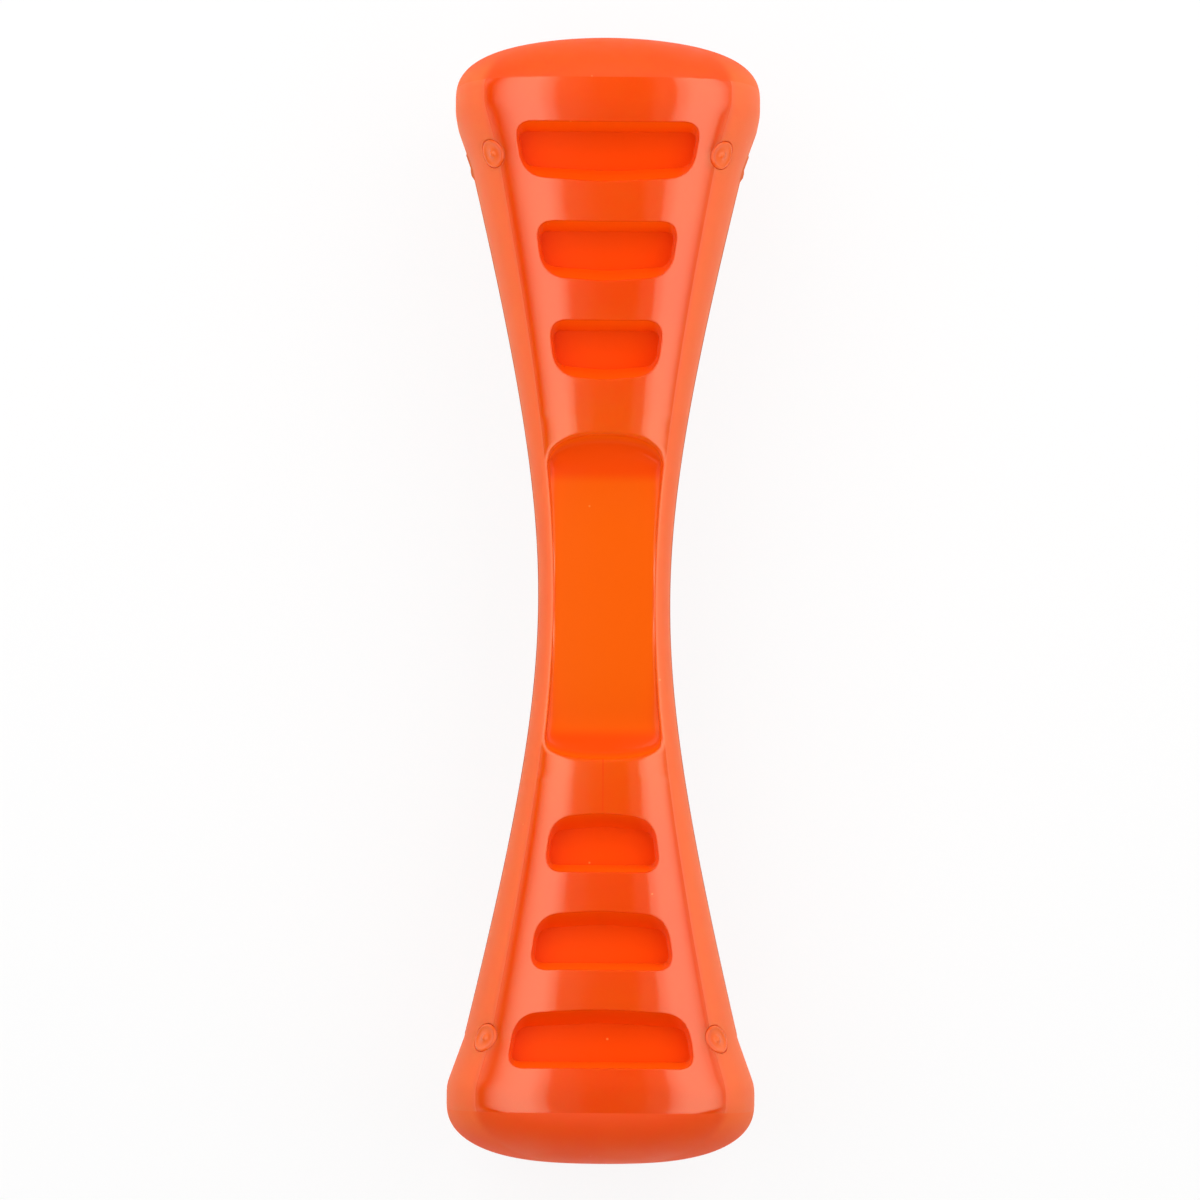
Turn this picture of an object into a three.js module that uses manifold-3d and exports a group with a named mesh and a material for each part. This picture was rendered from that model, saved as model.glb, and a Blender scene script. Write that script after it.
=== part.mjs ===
// Stick dog toy: a flared rubber fetch stick with treat pockets down its front and back.
// It lies on its back. X runs across it, Y along it and Z up. Sizes are millimetres.
// Two half shells close over a core, and pegs at the corners hold them to it.

import * as THREE from 'three';
import { mergeVertices } from 'three/addons/utils/BufferGeometryUtils.js';
import Module from 'manifold-3d';

const wasm = await Module();
wasm.setup();

// Outer form
const LENGTH = 235;
const END_WIDTH = 64;
const WAIST_WIDTH = 27.4;
const END_LIP = 3.6; // each side of an end stands out this far past the hourglass at the pegs
const SQUARENESS = 4; // exponent of the section: 2 is a circle, more is nearer a square
const TIP_SQUARENESS = 2; // the same at the tip of each end
const RIM_WIDTH = 18; // how far the rounding of each end reaches in from the side
const RIM_LENGTH = 11.5; // and how far it reaches along the stick
const REST_LAND = 2.5; // flat band at the widest place, which the stick lies on
const CROWN = 1; // rise of the end face inside its rounding
const END_FLAT = 12; // width of the flat spot in the middle of each end

// Skin and core
const SKIN = 8.5;
const FIT = 0.3; // gap between neighbouring pieces

// Treat pockets, from the waist outwards
const POCKET_WIDTHS = [22.6, 28.2, 36.9];
const POCKET_FROM_END = 26.3; // from the end of the stick to the outermost pocket's middle
const POCKET_PITCH = 20.1;
const POCKET_LENGTH = 12.4;
const POCKET_DEPTH = 6;
const POCKET_WALL = 2.2; // how far the rounded walls come in, from rim to floor
const POCKET_OUTER_CORNER = 2;
const POCKET_INNER_CORNER = 2.6;
const POCKET_ARCH = 1; // bow of the edge that faces the waist

// Recessed panel at the waist
const PANEL_GAP = 11.2; // from each end of the panel to the nearest pocket
const PANEL_WAIST_WIDTH = 21;
const PANEL_END_WIDTH = 24;
const PANEL_DEPTH = 2.2; // below the face at the waist
const PANEL_RAMP = 7.5; // length of the sloped wall at each end
const PANEL_CORNER = 8;
const PANEL_FILLET = 5;

// Corner pegs, level with the outermost pockets
const PEG_HEAD = 6;
const PEG_HEAD_THICKNESS = 3;
const PEG_SHANK = 3.6;
const PEG_BULB = 5;
const PEG_BULB_LENGTH = 3.5;
const PEG_LENGTH = 18;
const PEG_SINK = 0.2; // the head lies this far below the skin's corner
const NUB = 1.2;
const NUB_HEIGHT = 0.4;

// Fineness of the faceted surfaces
const OUTER_SIDES = 32;
const INNER_SIDES = 24;
const FLARE_STEPS = 8;
const RIM_STEPS = 5;
const PEG_SIDES = 12;
const CURVE_STEPS = 3;
const MERGE_DISTANCE = 1e-4; // corners nearer to each other than this are one

// Values that follow from the sizes above
const axisHeight = END_WIDTH / 2;
const endRadius = END_WIDTH / 2;
const waistRadius = WAIST_WIDTH / 2;
const landStart = LENGTH / 2 - CROWN - RIM_LENGTH - REST_LAND;
const pegAt = LENGTH / 2 - POCKET_FROM_END;
const firstPocket = pegAt - (POCKET_WIDTHS.length - 1) * POCKET_PITCH;
const panelHalf = firstPocket - POCKET_LENGTH / 2 - PANEL_GAP;
const flare = pegAt / Math.sqrt(((endRadius - END_LIP) / waistRadius) ** 2 - 1);
const clear = END_WIDTH; // how far a cutting block reaches past what it cuts

const shellMaterial = new THREE.MeshStandardMaterial({ color: 0xfb5a14, roughness: 0.35, metalness: 0 });
const coreMaterial = new THREE.MeshStandardMaterial({ color: 0xe8480a, roughness: 0.5, metalness: 0 });
const pegMaterial = new THREE.MeshStandardMaterial({ color: 0xfb6420, roughness: 0.4, metalness: 0 });

// Half the stick's width at a distance from its middle, on the hourglass between the ends
function halfWidth(along) {
  return waistRadius * Math.sqrt(1 + (along / flare) ** 2);
}

function flareSlope(along) {
  return (waistRadius / flare) ** 2 * along / halfWidth(along);
}

// Past the pegs each end widens more steeply, on a line that runs smoothly into its rounding.
// The angle is where that line meets the rounding, measured back from the widest place.
function shoulderAngle() {
  const along = (landStart - pegAt) / RIM_LENGTH;
  const across = (RIM_WIDTH - END_LIP) / RIM_WIDTH;
  return Math.atan2(along, across) - Math.acos(1 / Math.hypot(along, across));
}

// One half of the profile, from the middle of the stick to its end, moved in by inset
function halfProfile(inset) {
  const points = [];
  for (let i = 1; i <= FLARE_STEPS; i++) {
    const along = pegAt * i / FLARE_STEPS;
    points.push(new THREE.Vector2(halfWidth(along) - inset, along));
  }
  const shoulder = shoulderAngle();
  const shoulderRadius = endRadius - RIM_WIDTH * (1 - Math.cos(shoulder));
  points.push(new THREE.Vector2(shoulderRadius - inset, landStart - RIM_LENGTH * Math.sin(shoulder)));
  points.push(new THREE.Vector2(endRadius - inset, landStart));
  for (let i = 0; i <= RIM_STEPS; i++) {
    const angle = i / RIM_STEPS * Math.PI / 2;
    const across = endRadius - RIM_WIDTH + (RIM_WIDTH - inset) * Math.cos(angle);
    const along = landStart + REST_LAND + (RIM_LENGTH - inset) * Math.sin(angle);
    points.push(new THREE.Vector2(across, along));
  }
  points.push(new THREE.Vector2(END_FLAT / 2, LENGTH / 2 - inset));
  points.push(new THREE.Vector2(0, LENGTH / 2 - inset));
  return points;
}

// The section is a rounded square as far as the rest land, and turns rounder towards the tip
function squarenessAt(along, inset) {
  const past = (Math.abs(along) - landStart - REST_LAND) / (RIM_LENGTH - inset);
  return THREE.MathUtils.lerp(SQUARENESS, TIP_SQUARENESS, THREE.MathUtils.clamp(past, 0, 1));
}

// How far a section reaches at an angle, against a circle
function sectionReach(angle, squareness) {
  const across = Math.abs(Math.cos(angle)) ** squareness;
  const up = Math.abs(Math.sin(angle)) ** squareness;
  return (across + up) ** (-1 / squareness);
}

// The whole stick, or its inner form when inset is more than zero
function stickForm(inset, sides) {
  const half = halfProfile(inset);
  const mirrored = half.map((p) => new THREE.Vector2(p.x, -p.y)).reverse();
  const middle = new THREE.Vector2(waistRadius - inset, 0);
  const profile = [...mirrored, middle, ...half];
  const geometry = new THREE.LatheGeometry(profile, sides, Math.PI / sides);
  const position = geometry.attributes.position;
  for (let i = 0; i < position.count; i++) {
    const x = position.getX(i);
    const along = position.getY(i);
    const z = position.getZ(i);
    const reach = sectionReach(Math.atan2(z, x), squarenessAt(along, inset));
    position.setXYZ(i, x * reach, along, z * reach);
  }
  return geometry;
}

// A closed solid from a geometry, with shared corners joined and empty triangles left out
function toSolid(geometry, matrix = new THREE.Matrix4()) {
  const bare = geometry.clone().applyMatrix4(matrix);
  bare.deleteAttribute('normal');
  bare.deleteAttribute('uv');
  const merged = mergeVertices(bare, MERGE_DISTANCE);
  const triangles = [];
  for (let i = 0; i < merged.index.count; i += 3) {
    const corners = [0, 1, 2].map((k) => merged.index.getX(i + k));
    if (new Set(corners).size === 3) triangles.push(...corners);
  }
  return new wasm.Manifold(new wasm.Mesh({
    numProp: 3,
    vertProperties: new Float32Array(merged.attributes.position.array),
    triVerts: new Uint32Array(triangles),
  }));
}

function toGeometry(solid) {
  const mesh = solid.getMesh();
  const geometry = new THREE.BufferGeometry();
  geometry.setAttribute('position', new THREE.BufferAttribute(mesh.vertProperties, 3));
  geometry.setIndex(new THREE.BufferAttribute(mesh.triVerts, 1));
  geometry.computeVertexNormals();
  return geometry;
}

// An outline through corners, each given as [x, y, cut]: cut is where its rounding starts
function roundedOutline(corners) {
  const shape = new THREE.Shape();
  corners.forEach(([x, y, cut], i) => {
    const corner = new THREE.Vector2(x, y);
    const before = new THREE.Vector2(...corners.at(i - 1));
    const after = new THREE.Vector2(...corners[(i + 1) % corners.length]);
    const start = before.sub(corner).setLength(cut).add(corner);
    const end = after.sub(corner).setLength(cut).add(corner);
    if (i === 0) shape.moveTo(start.x, start.y);
    else shape.lineTo(start.x, start.y);
    shape.quadraticCurveTo(x, y, end.x, end.y);
  });
  shape.closePath();
  return shape;
}

// A pocket's rim: wide edge outwards, bowed edge to the waist, sides that run with the flank
function pocketOutline(along, width) {
  const taper = flareSlope(along) / halfWidth(along) * width / 2 * POCKET_LENGTH / 2;
  const outer = width / 2 + taper;
  const inner = width / 2 - taper;
  const half = POCKET_LENGTH / 2;
  const bowCut = inner / 4;
  return roundedOutline([
    [outer, half, POCKET_WALL + POCKET_OUTER_CORNER],
    [-outer, half, POCKET_WALL + POCKET_OUTER_CORNER],
    [-inner, -half + POCKET_ARCH, POCKET_WALL + POCKET_INNER_CORNER],
    [0, -half, bowCut],
    [inner, -half + POCKET_ARCH, POCKET_WALL + POCKET_INNER_CORNER],
  ]);
}

// The hollow of one pocket, square to the sloping face at its middle
function pocketHollow(along, width) {
  const geometry = new THREE.ExtrudeGeometry(pocketOutline(along, width), {
    depth: SKIN,
    bevelThickness: POCKET_DEPTH,
    bevelSize: POCKET_WALL,
    bevelOffset: -POCKET_WALL,
    bevelSegments: CURVE_STEPS,
    curveSegments: CURVE_STEPS,
  });
  const matrix = new THREE.Matrix4().makeRotationX(Math.atan(flareSlope(along)));
  matrix.setPosition(0, along, halfWidth(along));
  return toSolid(geometry, matrix);
}

// The hollow of the waist panel: a flat floor with ramps up to the face, inside waisted sides
function panelHollow() {
  const floor = waistRadius - PANEL_DEPTH;
  const rise = halfWidth(panelHalf) - floor;
  const side = new THREE.ExtrudeGeometry(roundedOutline([
    [-panelHalf - PANEL_RAMP, floor + 2 * rise, 0],
    [-panelHalf + PANEL_RAMP, floor, PANEL_FILLET],
    [panelHalf - PANEL_RAMP, floor, PANEL_FILLET],
    [panelHalf + PANEL_RAMP, floor + 2 * rise, 0],
  ]), { depth: END_WIDTH, bevelEnabled: false, curveSegments: CURVE_STEPS });
  const turned = new THREE.Matrix4().makeBasis(
    new THREE.Vector3(0, 1, 0),
    new THREE.Vector3(0, 0, 1),
    new THREE.Vector3(1, 0, 0),
  ).setPosition(-END_WIDTH / 2, 0, 0);
  const plan = new THREE.ExtrudeGeometry(roundedOutline([
    [PANEL_END_WIDTH / 2, panelHalf, PANEL_CORNER],
    [-PANEL_END_WIDTH / 2, panelHalf, PANEL_CORNER],
    [-PANEL_WAIST_WIDTH / 2, 0, PANEL_CORNER],
    [-PANEL_END_WIDTH / 2, -panelHalf, PANEL_CORNER],
    [PANEL_END_WIDTH / 2, -panelHalf, PANEL_CORNER],
    [PANEL_WAIST_WIDTH / 2, 0, PANEL_CORNER],
  ]), { depth: END_WIDTH, bevelEnabled: false, curveSegments: CURVE_STEPS });
  return toSolid(side, turned).intersect(toSolid(plan));
}

// A peg's outline about its own axis, or its hole's when grow is more than zero
function pegForm(grow, top) {
  const points = [
    [0, -PEG_LENGTH - grow],
    [PEG_SHANK / 2 + grow, -PEG_LENGTH - grow],
    [PEG_BULB / 2 + grow, -PEG_LENGTH + PEG_BULB_LENGTH / 2],
    [PEG_SHANK / 2 + grow, -PEG_LENGTH + PEG_BULB_LENGTH],
    [PEG_SHANK / 2 + grow, -PEG_HEAD_THICKNESS - grow],
    [PEG_HEAD / 2 + grow, -PEG_HEAD_THICKNESS - grow],
    ...top,
  ];
  return new THREE.LatheGeometry(points.map((p) => new THREE.Vector2(...p)), PEG_SIDES);
}

function peg() {
  return pegForm(0, [
    [PEG_HEAD / 2, -PEG_SINK],
    [NUB / 2, -PEG_SINK],
    [NUB / 2, -PEG_SINK + NUB_HEIGHT],
    [0, -PEG_SINK + NUB_HEIGHT],
  ]);
}

function pegHole() {
  return pegForm(FIT, [
    [PEG_HEAD / 2 + FIT, PEG_HEAD],
    [0, PEG_HEAD],
  ]);
}

// A peg stands square on the skin, on the corner that the three signs name
function pegPlace(across, along, up) {
  const reach = halfWidth(pegAt) * 2 ** (-1 / SQUARENESS);
  const lean = 2 ** (-1 + 1 / SQUARENESS);
  const outward = new THREE.Vector3(across * lean, -along * flareSlope(pegAt), up * lean).normalize();
  const turn = new THREE.Quaternion().setFromUnitVectors(new THREE.Vector3(0, 1, 0), outward);
  const place = new THREE.Vector3(across * reach, along * pegAt, up * reach);
  return new THREE.Matrix4().compose(place, turn, new THREE.Vector3(1, 1, 1));
}

const corners = [];
for (const [face, up] of [['front', 1], ['back', -1]]) {
  for (const [end, along] of [['top', 1], ['bottom', -1]]) {
    for (const [side, across] of [['left', -1], ['right', 1]]) {
      corners.push({ name: `peg_${face}_${end}_${side}`, place: pegPlace(across, along, up) });
    }
  }
}

// What is cut from the front half: its pockets and its panel
function frontHollows() {
  const halfTurn = new THREE.Matrix4().makeRotationZ(Math.PI);
  let hollows = panelHollow();
  POCKET_WIDTHS.forEach((width, i) => {
    const pocket = pocketHollow(firstPocket + i * POCKET_PITCH, width);
    hollows = hollows.add(pocket).add(pocket.transform(halfTurn.elements));
  });
  return hollows;
}

function allPegHoles() {
  return corners.map(({ place }) => toSolid(pegHole(), place)).reduce((a, b) => a.add(b));
}

// One half of the skin, on the side of the parting plane that up names
function shell(up, hollows, holes) {
  const block = new THREE.BoxGeometry(END_WIDTH + clear, LENGTH + clear, END_WIDTH);
  const side = toSolid(block, new THREE.Matrix4().makeTranslation(0, 0, up * (END_WIDTH + FIT) / 2));
  const turn = new THREE.Matrix4().makeRotationY(up > 0 ? 0 : Math.PI);
  const skin = toSolid(stickForm(0, OUTER_SIDES)).subtract(toSolid(stickForm(SKIN, INNER_SIDES)));
  return skin.intersect(side).subtract(hollows.transform(turn.elements)).subtract(holes);
}

function addPiece(group, name, geometry, material) {
  const mesh = new THREE.Mesh(geometry, material);
  mesh.name = name;
  group.add(mesh);
  return mesh;
}

const stick = new THREE.Group();
stick.position.z = axisHeight;
const hollows = frontHollows();
const holes = allPegHoles();
const core = toSolid(stickForm(SKIN + FIT, INNER_SIDES)).subtract(holes);
addPiece(stick, 'core_spine', toGeometry(core), coreMaterial);
addPiece(stick, 'front_shell', toGeometry(shell(1, hollows, holes)), shellMaterial);
addPiece(stick, 'back_shell', toGeometry(shell(-1, hollows, holes)), shellMaterial);
for (const { name, place } of corners) {
  addPiece(stick, name, toGeometry(toSolid(peg())), pegMaterial).applyMatrix4(place);
}

export default stick;
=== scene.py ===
"""Stick dog toy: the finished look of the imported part, in the part's own frame."""

import math

import bpy
import numpy as np
from mathutils import Matrix, Vector


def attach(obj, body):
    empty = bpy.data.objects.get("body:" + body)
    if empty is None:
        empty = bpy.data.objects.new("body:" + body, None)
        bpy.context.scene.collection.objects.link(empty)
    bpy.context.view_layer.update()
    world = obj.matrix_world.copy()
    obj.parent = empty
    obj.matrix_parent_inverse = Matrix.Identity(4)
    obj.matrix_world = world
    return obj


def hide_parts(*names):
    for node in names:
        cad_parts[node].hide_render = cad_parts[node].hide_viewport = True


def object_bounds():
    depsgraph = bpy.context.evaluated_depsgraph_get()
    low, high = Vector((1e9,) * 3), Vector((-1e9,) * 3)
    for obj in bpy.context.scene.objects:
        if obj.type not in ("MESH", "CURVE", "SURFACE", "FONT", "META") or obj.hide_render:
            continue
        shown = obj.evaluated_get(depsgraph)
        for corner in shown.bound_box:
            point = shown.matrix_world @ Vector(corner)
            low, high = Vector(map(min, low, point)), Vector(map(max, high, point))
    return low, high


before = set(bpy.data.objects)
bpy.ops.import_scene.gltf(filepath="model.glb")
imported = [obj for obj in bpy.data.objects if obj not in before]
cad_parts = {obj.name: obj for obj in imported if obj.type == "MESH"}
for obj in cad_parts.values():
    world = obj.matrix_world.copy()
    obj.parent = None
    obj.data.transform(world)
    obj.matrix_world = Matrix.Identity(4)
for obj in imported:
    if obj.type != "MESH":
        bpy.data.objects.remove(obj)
cad_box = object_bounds()

# The object's sizes are millimetres, and every mesh is turned into metres when it is made
MM = 0.001

# Outer form
LENGTH = (cad_box[1].y - cad_box[0].y) / MM
END_WIDTH = (cad_box[1].x - cad_box[0].x) / MM
WAIST_WIDTH = 27.4
END_LIP = 3.6  # each side of an end stands out this far past the hourglass at the pegs
SQUARENESS = 4  # exponent of a section's outline: 2 is round, and more is squarer
TIP_SQUARENESS = 2
RIM_WIDTH = 18  # the rounding before an end's rest land is an ellipse: its half axis across
RIM_LENGTH = 11.5  # and along
REST_LAND = 2.5  # length of the straight band at an end's widest place
CROWN = 1  # the rounding past the rest land is this much longer than the one before it
END_FLAT = 12
END_FULLNESS = 2.35  # an end's rounding is fuller than an ellipse, which would be 2
SKIN = 8.5  # thickness of a shell
SEAM = 0.04  # gap between the two half shells

# Treat pockets, from the waist outwards
POCKET_WIDTHS = [22.6, 28.2, 36.9]
POCKET_FROM_END = 26.3
POCKET_PITCH = 20.1
POCKET_LENGTH = 12.4
POCKET_DEPTH = 6
POCKET_INNER_WALL = 1.5  # how far each wall leans in from the rim to the floor
POCKET_OUTER_WALL = 2.7
POCKET_SIDE_WALL = 0.6
POCKET_OUTER_CORNER = 2
POCKET_INNER_CORNER = 2.6
POCKET_CORNER_GROWTH = 2.2  # the rim's corners are cut this much further back than the floor's
POCKET_ARCH = 1  # the inner edge bows this far towards the waist
POCKET_BOW = 0.25  # share of half the inner edge over which its middle is rounded
POCKET_RIM = 0.25  # rounding of a pocket's edge

# Recessed panel at the waist
PANEL_GAP = 11.2
PANEL_WAIST_WIDTH = 21
PANEL_END_WIDTH = 24
PANEL_DEPTH = 2.2
PANEL_RAMP = 9  # length of the scooped wall at each end
PANEL_BEVEL = 0.7  # width of the narrow wall along each side
PANEL_ARCHES = (6.7, 4.3)  # how far the top end and the bottom end bow out
PANEL_FLOOR_ARCHES = (-1.5, 1.0)  # the same for its flat floor
PANEL_ARCH_SQUARENESS = 2.5
PANEL_CORNER = 45  # degrees from a side at which a bowed end hands over to it
PANEL_RIM = 0.8
PANEL_SIDE_RIM = 1.4  # the rounding is wider along the sides

# Corner pegs, level with the outermost pockets
PEG_HEAD = 6
PEG_GAP = 0.07
PEG_DEPTH = 1.6
PEG_RIM = 0.2

# A peg's head: distance from its middle and height above the skin, from the nub outwards
PEG_TOP = [
    (0.30, 0.34), (0.50, 0.28), (0.62, 0.12), (0.80, -0.02), (1.20, -0.10), (1.75, -0.12),
    (2.15, -0.06), (2.35, 0.06), (2.55, 0.10), (2.75, 0.06), (2.90, -0.06), (PEG_HEAD / 2, -0.25),
]

# Flash left by the mould along the seam
FLASH = 0.22
FLASH_WIDTH = 0.45
FLASH_TAB = 0.4
FLASH_TAB_LENGTH = 5.2
FLASH_TAB_SHIFT = 0.5  # past the pegs

# Patches of skin that hold a pocket, the panel or a peg
POCKET_PATCH = 8.4  # half of its length
PANEL_PATCH_MARGIN = 4.5
PEG_PATCH = 4.8
POCKET_COLUMN = 0.71  # half of its width, round a section of unit half-width
PEG_COLUMN = 1.04

# Fineness
POCKET_COLUMNS = 24
PEG_COLUMNS = 12
FLANK_COLUMNS = 18
INNER_COLUMNS = 24
ROW_STEP = 0.85
END_ROWS = 26
CORNER_STEPS = 10
RING_STEPS = 6
ROUND_STEPS = 4
WALL_STEPS = 10
PEG_SIDES = 48
FLOOR_SHARES = (0.985, 0.75, 0.5, 0.25)  # loops on a hollow's floor, from its edge inwards
SECTION_SAMPLES = 4001
LANDING_STEPS = 8  # rounds in which a point is brought onto the skin
NUDGE = 0.001  # step over which the skin's slope is measured
CLOSE = 1e-6  # places nearer than this are the same
SHARP_ANGLE = 50  # degrees

# Where the skin's finish changes: flanks and tips are duller than the faces
FLANK_START = 0.48  # share of the way round a section from the front to the seam
FLANK_BLEND = 0.02
TIP_START = 1.3  # past the rest land
TIP_END = 8.5  # the flanks' painted paler sheen has faded out here
HOLLOW_START = 0.3  # depth below the skin from which a hollow is less polished

# Where the rubber's tones change, painted glow, painted sheen and painted shade among them
THIN_GLOW = (12, 62)  # distances from the waist between which the painted glow of light through the thin rubber fades out
SUNK_SHADE = (0.15, 0.6)  # depths below the skin between which a hollow's painted shade comes in
PANEL_SHADE = (-1, 2)  # the same, about the foot of the panel's scooped walls
PANEL_SHADE_SHIFT = 3  # it comes in this much further out at the lower wall
WALL_GLOW_STEEP = (0.35, 0.9)  # upward parts of the normal between which the painted glow on a hollow's walls fades out

# Dark line on the seam
SEAM_LINE = (0.15, 0.5)  # distances from the seam between which it fades out
SEAM_SHARE = 0.75
SEAM_FADE = 14  # length over which it fades out before an end

# Fine line where the rubber met in the mould, below the panel
KNIT_WIDTH = 0.22
KNIT_LENGTH = 11
KNIT_SHARE = 0.9

# Pale specks scattered in the rubber
SPECK_SIZE = 0.32  # radius of the largest
SPECK_SPACING = 8.5
SPECK_SHARE = 0.7

# Unevenness of the rubber, each a scale per metre and a detail, and the part of it that is used
CLOUD_NOISE = (34.0, 3.0)
CLOUD_RANGE = (0.35, 0.65)
SMEAR_NOISE = (90.0, 5.0)
SMEAR_RANGE = (0.3, 0.7)
GRAIN_NOISE = (260.0, 2.0)
GRAIN_STRENGTH = 0.04
GRAIN_DEPTH = 0.3

# Tones and finishes of the rubber. Among the tones, the thin waist's is painted glow, the hollows'
# painted shade, their walls' painted glow and the flanks' painted sheen
SHELL_TONES = {
    "light": (0.88, 0.078, 0.003, 1),
    "deep": (0.87, 0.066, 0.002, 1),
    # thin: painted glow, yellower where light would come through the thin waist
    "thin": (0.90, 0.112, 0.003, 1),
    # hollow: painted shade, deeper where less light reaches the hollows; the knit line borrows this
    # colour
    "hollow": (0.88, 0.066, 0.002, 1),
    # wall: painted glow, lighter where light would come through a hollow's walls
    "wall": (1.00, 0.116, 0.002, 1),
    # flank: painted sheen, paler where the flanks would reflect the bright room
    "flank": (0.98, 0.115, 0.007, 1),
    "seam": (0.40, 0.030, 0.002, 1),
    "speck": (1.00, 0.260, 0.060, 1),
}
# The tips' flanks take a paler painted sheen
TIP_TONES = {**SHELL_TONES, "flank": (1.00, 0.140, 0.028, 1)}
# The core's thin tone is painted glow and its hollow tone painted shade
CORE_TONES = {
    "light": (0.78, 0.065, 0.004, 1),
    "deep": (0.72, 0.055, 0.003, 1),
    "thin": (0.80, 0.075, 0.003, 1),
    "hollow": (0.72, 0.055, 0.003, 1),
    "wall": (0.78, 0.065, 0.003, 1),
    "flank": (0.78, 0.065, 0.004, 1),
    "seam": (0.40, 0.030, 0.002, 1),
    "speck": (0.90, 0.150, 0.030, 1),
}
# On a peg's head the hollow and wall tones are painted shade, darker in the gap round it, and its
# flank tone is painted sheen
PEG_TONES = {
    "light": (0.89, 0.092, 0.005, 1),
    "deep": (0.88, 0.080, 0.004, 1),
    "thin": (0.89, 0.112, 0.003, 1),
    "hollow": (0.80, 0.055, 0.002, 1),
    "wall": (0.80, 0.055, 0.002, 1),
    "flank": (0.92, 0.116, 0.004, 1),
    "seam": (0.40, 0.030, 0.002, 1),
    "speck": (1.00, 0.260, 0.060, 1),
}
SHELL_FINISH = {"faces": (0.08, 0.12), "flanks": 0.7, "gloss": 1.0, "soak": 0.4}
TIP_FINISH = {"faces": (0.60, 0.70), "flanks": 0.7, "gloss": 0.28, "soak": 0.4}
HOLLOW_FINISH = {"faces": (0.08, 0.12), "flanks": 0.5, "gloss": 0.22, "soak": 0.0}
PEG_FINISH = {"faces": (0.10, 0.14), "flanks": 0.25, "gloss": 0.71, "soak": 0.0}
GLOSS_TINT = (1.0, 1.0, 0.76, 1)
SOAK_LENGTH = 6  # how far light spreads under the skin
SOAK_SHARES = (1.0, 0.2, 0.05)  # shares of that length for red, green and blue
WHITE = (1, 1, 1, 1)

# Floor, with sizes in metres from here on where nothing else is said
FLOOR_SIZE = 6.0
FLOOR_COLOUR = (0.9, 0.9, 0.9, 1)
FLOOR_ROUGHNESS = 0.9
FLOOR_WHITE = 0.88  # share of plain white in what the camera sees of it

# Softboxes and dimmer spills beside them, from one place to another across and along the stick
LAMP_HEIGHT = 0.45
LAMP_ALONG = (-0.25, 0.80)
LEFT_LAMP = (-0.60, -0.050)
RIGHT_LAMP = (0.092, 0.70)
LEFT_SPILL = (-0.046, -0.007)
RIGHT_SPILL = (0.034, 0.090)
LAMP_RADIANCE = 1.86
SPILL_RADIANCE = 0.2

# Gleams, what the gloss shows of the softboxes: brightest between the two middle places
GLEAM_HEIGHT = 0.44
GLEAM_ALONG = (-0.38, 0.80)
LEFT_GLEAM = (0.046, 0.10, 0.157, 0.64)
LEFT_GLEAM_SHARES = (0.55, 0.08)  # of that brightness at the inner and the outer edge
RIGHT_GLEAM = (0.090, 0.18, 0.30, 1.0)
RIGHT_GLEAM_SHARES = (0.6, 0.4)

# Fills past both ends
END_FILL_SIZE = (1.2, 0.36)
END_FILL_DISTANCE = 0.90
END_FILL_HEIGHT = 0.24
END_FILL_RADIANCE = 1.8

# Room round the stage
WALL_LIGHT = 0.72
END_WALL_LIGHT = 0.2
WALL_TURN = (0.3, 0.9)  # sideways parts of a direction, from the end walls to the side walls
CEILING_LIGHT = 0.02
WALL_TOP = 0.15  # heights of the walls' top and the dark ceiling's start, as sines of their angles
CEILING_START = 0.45

# Camera
CAMERA_DISTANCE = 1.1
CAMERA_ELEVATION = 86.5  # degrees
CAMERA_ROLL = 0.43  # degrees
CAMERA_AIM = (-0.88, 0.27, 32)  # millimetres
CAMERA_REACH = 20
SENSOR_WIDTH = 36  # millimetres
PHOTO_WIDTH = 1200
PIXELS_PER_MM = 4.75

# Values that follow from the sizes above
end_radius = END_WIDTH / 2
waist_radius = WAIST_WIDTH / 2
land_start = LENGTH / 2 - CROWN - RIM_LENGTH - REST_LAND
land_end = land_start + REST_LAND
peg_at = LENGTH / 2 - POCKET_FROM_END
peg_radius = end_radius - END_LIP
flare = peg_at / math.sqrt((peg_radius / waist_radius) ** 2 - 1)
pockets = [
    (peg_at - (len(POCKET_WIDTHS) - 1 - i) * POCKET_PITCH, width)
    for i, width in enumerate(POCKET_WIDTHS)
]
panel_half = pockets[0][0] - POCKET_LENGTH / 2 - PANEL_GAP
panel_reach = panel_half + PANEL_PATCH_MARGIN
panel_points = 4 * CORNER_STEPS + 1  # on each stretch of the panel's outline


# Form of the skin

def shoulder():
    """Where the straight shoulder past the pegs meets the rounding of an end: along, radius."""
    along = (land_start - peg_at) / RIM_LENGTH
    across = (RIM_WIDTH - END_LIP) / RIM_WIDTH
    angle = math.atan2(along, across) - math.acos(1 / math.hypot(along, across))
    radius = end_radius - RIM_WIDTH * (1 - math.cos(angle))
    return land_start - RIM_LENGTH * math.sin(angle), radius


def half_width(along):
    """Half the stick's width at places along it, as far as the end of the rest land."""
    y = np.abs(along)
    shoulder_at, shoulder_radius = shoulder()
    hourglass = waist_radius * np.sqrt(1 + (y / flare) ** 2)
    steep = peg_radius + (shoulder_radius - peg_radius) * (y - peg_at) / (shoulder_at - peg_at)
    back = np.clip((land_start - y) / RIM_LENGTH, 0, 1)
    rounding = end_radius - RIM_WIDTH * (1 - np.sqrt(1 - back ** 2))
    return np.where(y < peg_at, hourglass, np.where(y < shoulder_at, steep, rounding))


def flare_slope(along):
    """How steeply the hourglass widens at a place along it."""
    return (waist_radius / flare) ** 2 * along / half_width(along)


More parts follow.
